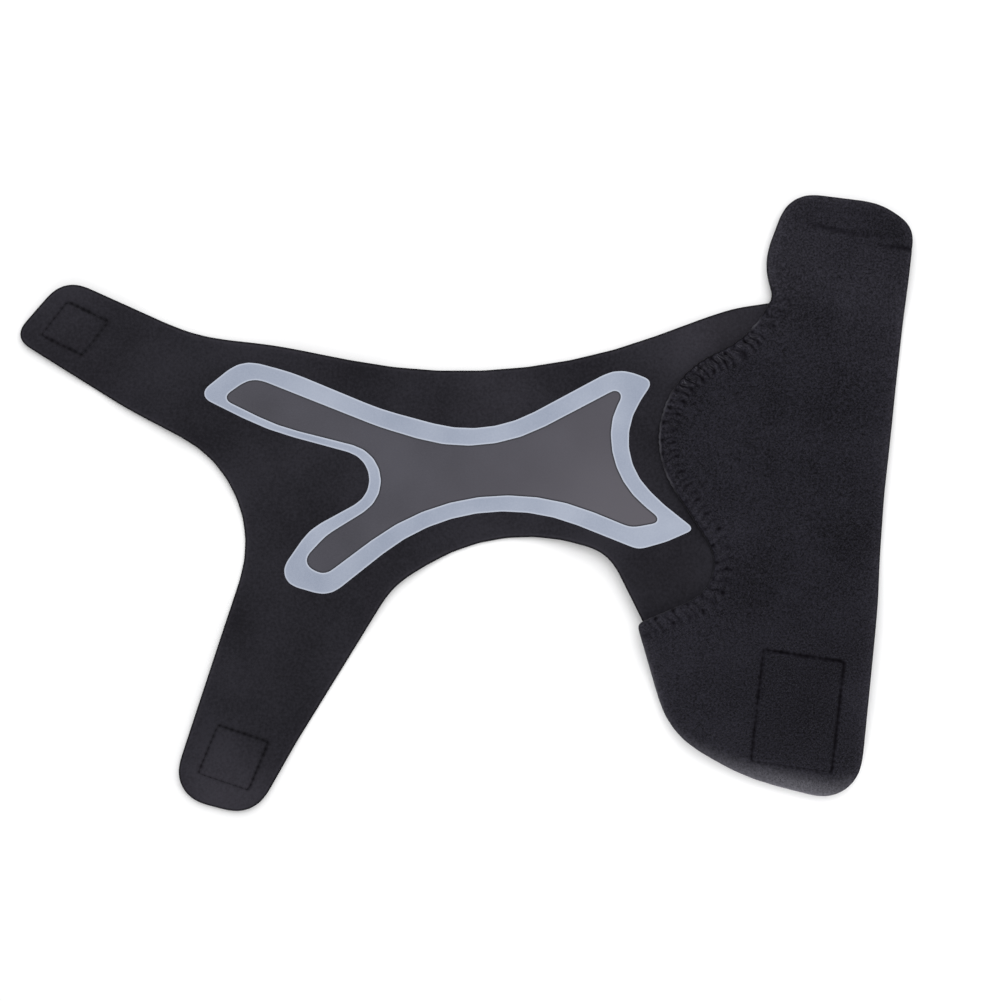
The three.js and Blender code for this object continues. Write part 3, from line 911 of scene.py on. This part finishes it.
def cuffShade(places):
    # painted shade in the folds, the stitching and the seam's valleys, over the low part of the panel, and a
    # little on the end beyond the upper fold; a little darker over the pad
    (ax, ay), (bx, by) = creases[0]["from"], creases[1]["to"]
    beyond = (places[:, 1] - ay) - (places[:, 0] - ax) * (by - ay) / (bx - ax)
    end = ease(beyond / cuffLook["topEase"] + 0.5)
    end = end * ease((places[:, 0] - ax + cuffLook["topBefore"]) / cuffLook["topFade"]) * cuffLook["topShade"]
    fold = foldShare(places) * cuffLook["creaseShade"]
    pad = inside(padOutlines["cuff"], places) * cuffLook["padShade"]
    lowShade = strongestNear(shadedPlush, places)
    return np.clip(cuffGroove(places)[1] + seamRelief(places)[1] + fold + pad + end + lowShade, 0, 1)


footLook = {
    "reach": 14.0, "leastReach": 5.0, "below": -95.0, "facing": 0.66, "brightest": 166, "leftFade": 76,
    "rightFade": 26, "growth": 1.5, "sideGrowth": 0.8, "lowest": 0.2}
facesDown = leftOf(cuffOutline)[:, 1] > footLook["facing"]
footDistance = distanceReader(cuffOutline[facesDown & (cuffOutline[:, 1] < footLook["below"])])


def footShare(places):
    # how much painted sheen the pile gets towards the foot's lower edge
    aside = places[:, 0] - footLook["brightest"]
    strong = 1 - ease(np.where(aside < 0, -aside / footLook["leftFade"], aside / footLook["rightFade"]))
    reach = footLook["leastReach"] + (footLook["reach"] - footLook["leastReach"]) * strong
    near = 1 - ease(footDistance(places) / reach)
    return near ** footLook["growth"] * strong ** footLook["sideGrowth"]


def cuffTints(points, rim):
    flat = points[:, :2]
    along, within = seamPlaces(flat)
    paleRim = strongestNear(paleEdge, flat)
    nearSeam = 1 - ease((within - cuffLook["lipWidth"]) / cuffLook["lipWidth"])
    foot = footShare(flat)
    # painted shade on the rim: along the seam as the seam's lip column says, and on the outer edges away from
    # the foot
    dark = np.maximum(nearSeam * seamRun(along, "lip"), cuffLook["outerShade"] * (1 - foot) * (1 - nearSeam))
    shade = np.maximum(cuffShade(flat), rim * (1 - paleRim) * dark)
    past = np.maximum(cuffEdgeDistance(flat) - cuffLook["edgeFrom"], 0)
    edge = cuffLook["edgePale"] * np.exp(-past / cuffLook["edgeWidth"])
    edge = (edge + cuffLook["broadPale"] * np.exp(-past / cuffLook["broadWidth"])) * (1 - nearSeam)
    # the foot tint is painted sheen; pale holds the painted highlight on the seam's crests, the painted light
    # below the folds and a paler band along the edges
    return {"rim": rim * paleRim, "foot": foot * (points[:, 2] > footLook["lowest"]), "shade": shade,
            "pale": np.maximum(seamRelief(flat)[2], strongestNear(litPlush, flat) + edge)}


denseCuff = [seamLine[::2] + seamSide[::2] * within for within in np.arange(*cuffLook["seamRows"])]
denseCuff.insert(0, rowsAlong(stitchLines["cuff"], cuffLook["stitchRows"], cuffLook["stitchRowStep"]))
cuffPoints, cuffFaces, cuffRim, cuffTop = clothSlab(
    [scalloped(cuffOutline)], cuffLook, cuffOver, cuffUnder, np.vstack(denseCuff), cuffRelief)
cuffTopAt = heightReader(*cuffTop)
underSide = np.array([len(f) == 3 for f in cuffFaces], int)      # plain cloth below, plush on top and rim
underSide[:len(cuffTop[1])] = 0
cuffPlush = addPiece("cuffPlush", cuffPoints, cuffFaces, [plush, stretchCloth],
                     cuffTints(cuffPoints, cuffRim), underSide)
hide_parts("cuff_panel")


# Loop pile on the cuff

pileLook = {
    "spacing": 1.16, "jitter": 0.4, "halfSpan": 0.52, "spanVary": (0.7, 1.25), "lean": 0.18,
    "height": 0.38, "heightVary": (0.6, 1.25), "sunk": 0.1, "radius": 0.165, "edgeClear": 1.0,
    "seamThin": 9.0, "thinnest": 0.3, "seamClear": 7.6, "stitchClear": 1.2, "holeClear": 0.22,
    "foldClear": 0.45, "litClear": 0.4, "valleyClear": 0.3, "halves": 20.0}


def pileLoops():
    # foot, crown and foot of a small arch at each spot that no seam, stitch or fold keeps clear
    spots = fieldOf([cuffOutline], pileLook["spacing"], pileLook["edgeClear"])
    spots = spots + strayed(len(spots), pileLook["jitter"])
    clear = distanceReader(stitchLines["cuff"])(spots) > pileLook["stitchClear"]
    clear &= (holeShare(spots) < pileLook["holeClear"]) & (foldShare(spots) < pileLook["foldClear"])
    along, within = seamPlaces(spots)
    clear &= (within > pileLook["seamClear"]) | (seamRun(along, "lit") < pileLook["litClear"])
    clear &= seamRelief(spots)[1] < pileLook["valleyClear"]
    spots, within = spots[clear], within[clear]
    pressed = ease(within / pileLook["seamThin"]) * (1 - pileLook["thinnest"]) + pileLook["thinnest"]
    turn = drawn(len(spots), 0, math.pi)
    span = drawn(len(spots), *pileLook["spanVary"]) * pileLook["halfSpan"]
    lean = strayed(len(spots), pileLook["lean"])
    way = np.column_stack([np.cos(turn), np.sin(turn)]) * span[:, None]
    tall = pileLook["height"] * pressed * drawn(len(spots), *pileLook["heightVary"])
    parts = [(spots - way, -pileLook["sunk"]), (spots + lean, tall), (spots + way, -pileLook["sunk"])]
    return np.stack([np.column_stack([flat, cuffTopAt(flat) + rise]) for flat, rise in parts], 1)


def triangularLoops(paths, radius):
    # three-sided loops of two lengths each, their ends buried in the pile
    ahead = unitRows(paths[:, 2] - paths[:, 0])
    across = unitRows(np.cross(ahead, (0, 0, 1.0)))
    rings = []
    for turn in np.radians((90, 210, 330)):
        shift = across * math.cos(turn) + np.array([0, 0, 1.0]) * math.sin(turn)
        rings.append(paths + shift[:, None, :] * radius)
    points = np.stack(rings, 2).reshape(-1, 3)             # loop, then place along it, then side
    quads = [[step + side, step + (side + 1) % 3, step + 3 + (side + 1) % 3, step + 3 + side]
             for step in (0, 3) for side in range(3)]
    quads = np.arange(len(paths))[:, None, None] * 9 + np.array(quads)[None]
    return points, quads.reshape(-1, 4).tolist()


pilePaths = pileLoops()
upperHalf = pilePaths[:, 1, 1] > pileLook["halves"]
for name, loops in (("cuffPileUpper", pilePaths[upperHalf]), ("cuffPileLower", pilePaths[~upperHalf])):
    pilePoints, pileFaces = triangularLoops(loops, pileLook["radius"])
    addPiece(name, pilePoints, pileFaces, [pileLoop],
                               cuffTints(pilePoints, np.zeros(len(pilePoints))))


# Sewing: the zigzag along the cuff's edge and a plain row round each pad

seamThreadLook = {
    "from": 0.7, "to": 7.6, "shortest": 4.2, "stray": 0.8, "strands": (-1.2, -0.6, 0.0, 0.6, 1.2),
    "shift": 0.35, "lean": 1.1, "arch": 0.9, "radius": 0.18, "proud": 0.1, "sunk": 0.5,
    "uneven": (-0.12, 0.08), "endDive": 0.3, "fade": 0.5, "dullest": 0.3, "flecks": 7, "fleckShare": 0.4,
    "fleckShift": 6, "sides": 6, "places": 12}


def seamThreads():
    # soft strands across the seam, some on each bulge, proud where the seam is lit and sunk in the rest, with
    # a painted sheen where lit
    look = seamThreadLook
    paths, pale = [], []
    share = np.linspace(0, 1, look["places"])
    swell = np.sin(share * math.pi)
    dive = look["endDive"] * (1 - swell ** 0.5)
    for n in range(seamCount - 1):
        middle = (n + 0.5) * seamLook["pitch"]
        lit = seamRun(middle, "lit")
        for strand in look["strands"]:
            first = look["from"] + random.uniform(0, look["stray"])
            last = random.uniform(look["shortest"], look["to"])
            along = middle + strand + random.uniform(-1, 1) * look["shift"]
            lean = random.uniform(-1, 1) * look["lean"]
            arch = random.uniform(-1, 1) * look["arch"]
            flat = seamSpot(along + lean * share + arch * swell, first + share * (last - first))
            height = look["proud"] * lit - look["sunk"] * (1 - lit) + random.uniform(*look["uneven"])
            paths.append(np.column_stack([flat, cuffTopAt(flat) + height - dive]))
            shine = lit * random.uniform(look["dullest"], 1) * (1 - look["fade"] * share)
            fleck = np.sin(share * look["flecks"] + random.uniform(0, look["fleckShift"]))
            pale.append(shine * (1 - look["fleckShare"] + look["fleckShare"] * fleck))
    return paths, np.concatenate(pale)


def addThreads(name, paths, pale, look):
    points, faces = tubes(paths, look["radius"], look["sides"])
    return addPiece(name, points, faces, [sewingThread], {"pale": np.repeat(pale, look["sides"])})


def plainStitches(key, surface):
    # a stitch from each needle hole to the next, and a painted highlight that brings its middle near the
    # cloth's own tone
    holes = evenly(stitchLines[key], stitchLook["step"])
    after = np.roll(holes, -1, 0)
    share = np.linspace(stitchLook["endGap"], 1 - stitchLook["endGap"], stitchLook["places"])
    arch = np.sin(share * math.pi)
    paths = []
    for a, b in zip(holes, after):
        flat = a + np.outer(share, b - a)
        paths.append(np.column_stack([flat, surface(flat) + arch * stitchLook["arch"] - stitchLook["sunk"]]))
    which = nearestReader(stitchLines[key])((holes + after) / 2)[0]
    plain = np.clip(1 - shownAlong(key)[which] * stitchLook["dark"][key], 0, 1)
    return paths, np.outer(plain * stitchLook["blend"], arch).ravel()


seamZigzag = addThreads("seamZigzag", *seamThreads(), seamThreadLook)
for key in padNodes:
    surface, slotName = (cuffTopAt, "plush") if key == "cuff" else (bodyTopAt, "stretch_cloth")
    addThreads("padStitch_" + key, *plainStitches(key, surface), stitchLook)


# Hook tape: a woven base against the cloth and rows of hooks below it

tapeLook = {
    "outlineStep": 0.8, "softRounds": 2, "step": 2.0, "underStep": 2.4, "settleRounds": 2,
    "underSettleRounds": 2, "rimRound": 0.2, "rimSteps": 2, "rimPower": 0.8, "leastEdge": 0.2,
    "rimTint": 0.5, "thickness": 0.65, "rise": 0.24, "hookPitch": 1.55, "hookRadius": 0.11,
    "hookSides": 4, "hookCurl": 0.42, "hookInset": 1.2}
# the bend of a hook: share of its curl, and share of its height below the tape
hookBend = table("out down", (0, -0.1), (0, 0.55), (0.3, 0.9), (0.75, 0.98), (1, 0.72))


def padFrame(outline):
    # the pad's middle, its two directions and its half sizes
    edges = np.roll(outline, -1, 0) - outline
    longest = edges[np.argmax(np.linalg.norm(edges, axis=1))]
    u = longest / np.linalg.norm(longest)
    v = np.array([-u[1], u[0]])
    across, along = outline @ u, outline @ v
    middle = u * (across.min() + across.max()) / 2 + v * (along.min() + along.max()) / 2
    return middle, u, v, np.ptp(across) / 2, np.ptp(along) / 2


def hookPaths(key, base, floorLevel):
    middle, u, v, a, b = padFrame(padOutlines[key])
    room = movedIn(padOutlines[key], tapeLook["hookInset"], offsetStep)
    pitch = tapeLook["hookPitch"]
    paths = []
    for row, y in enumerate(np.arange(-b, b, pitch)):
        spots = np.array([middle + u * x + v * y for x in np.arange(-a + (row % 2) * pitch / 2, a, pitch)])
        spots = spots[inside(room, spots)]
        curl = tapeLook["hookCurl"] * (1 if row % 2 else -1)
        for spot, top, foot in zip(spots, base(spots), floorLevel(spots)):
            tall = top - foot - tapeLook["hookRadius"]
            paths.append([(*(spot + u * curl * bend["out"]), top - tall * bend["down"]) for bend in hookBend])
    return paths


def hookTapePiece(key):
    padTop, padFoot = heightsOf(padSolids[key])

    def tapeTop(places):
        return padTop(places) + tapeLook["rise"]

    def tapeUnder(places):
        return tapeTop(places) - tapeLook["thickness"]

    outline = softOutline(padSolids[key], tapeLook)
    points, faces, _, _ = clothSlab([outline], tapeLook, tapeTop, tapeUnder)
    hooks = hookPaths(key, tapeUnder, padFoot)
    hookPoints, hookFaces = tubes(hooks, tapeLook["hookRadius"], tapeLook["hookSides"])
    faces += [tuple(i + len(points) for i in face) for face in hookFaces]
    joined = np.vstack([points, hookPoints])
    return addPiece("hookTape_" + key, joined, faces, [hookTape])


for key, node in padNodes.items():
    hookTapePiece(key)
    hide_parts(node)


# Studio: white floor, soft light from the upper right of the picture, camera straight above

studio = {
    "pixels": 1001, "mmPerPixel": 0.48, "middle": (16.08, 1.2), "lens": 100, "sensor": 36, "surface": 1.2,
    "floorSize": 8.0, "world": 0.55}
paperFinish = {
    "sockets": {"Roughness": 0.9, "Specular IOR Level": 0.1}, "fine": (60,), "span": (0.3, 0.7),
    "tones": ((0.9, 0.9, 0.905, 1), (0.92, 0.92, 0.925, 1))}
lights = table(
    "name power place size aim",
    ("keyLight", 16.0, (0.15, 0.75, 1.0), 1.5, (0, 0, 0)),
    ("fillLight", 8, (-0.3, -1.5, 0.6), 1.0, (0, 0, 0)),
    ("footLight", 0.3, (0.16, -0.31, 0.1), 0.16, (0.155, -0.13, 0.0)))


def addFloor():
    half = studio["floorSize"] / 2
    corners = [(-half, -half, 0), (half, -half, 0), (half, half, 0), (-half, half, 0)]
    mesh = bpy.data.meshes.new("floor")
    mesh.from_pydata(corners, [], [(0, 1, 2, 3)])
    material, tree, shader, _, _, tone = newMaterial("floorPaper", paperFinish)
    colour = ramp(tree, tone, paperFinish["span"], paperFinish["tones"])
    tree.links.new(colour, shader.inputs["Base Color"])
    mesh.materials.append(material)
    floor = placed("floor", mesh)


def addLight(look):
    lamp = bpy.data.lights.new(look["name"], "AREA")
    lamp.size = look["size"]
    lamp.energy = look["power"]
    light = placed(look["name"], lamp)
    light.location = look["place"]
    aim = Vector(look["aim"]) - Vector(look["place"])
    light.rotation_euler = aim.to_track_quat("-Z", "Y").to_euler()
    light.visible_camera = False


addFloor()
for look in lights:
    addLight(look)
world = bpy.data.worlds.new("whiteRoom")
world.use_nodes = True
background = world.node_tree.nodes["Background"]
background.inputs["Color"].default_value = (1, 1, 1, 1)
background.inputs["Strength"].default_value = studio["world"]
scene.world = world
scene.view_settings.view_transform = "Standard"

cameraData = bpy.data.cameras.new("camera")
cameraData.lens = studio["lens"]
cameraData.sensor_width = studio["sensor"]
camera = placed("camera", cameraData)
viewWide = studio["pixels"] * studio["mmPerPixel"]
distance = viewWide * studio["lens"] / studio["sensor"]
camera.location = Vector((*studio["middle"], distance + studio["surface"])) * mm
scene.camera = camera
print("studio ready")
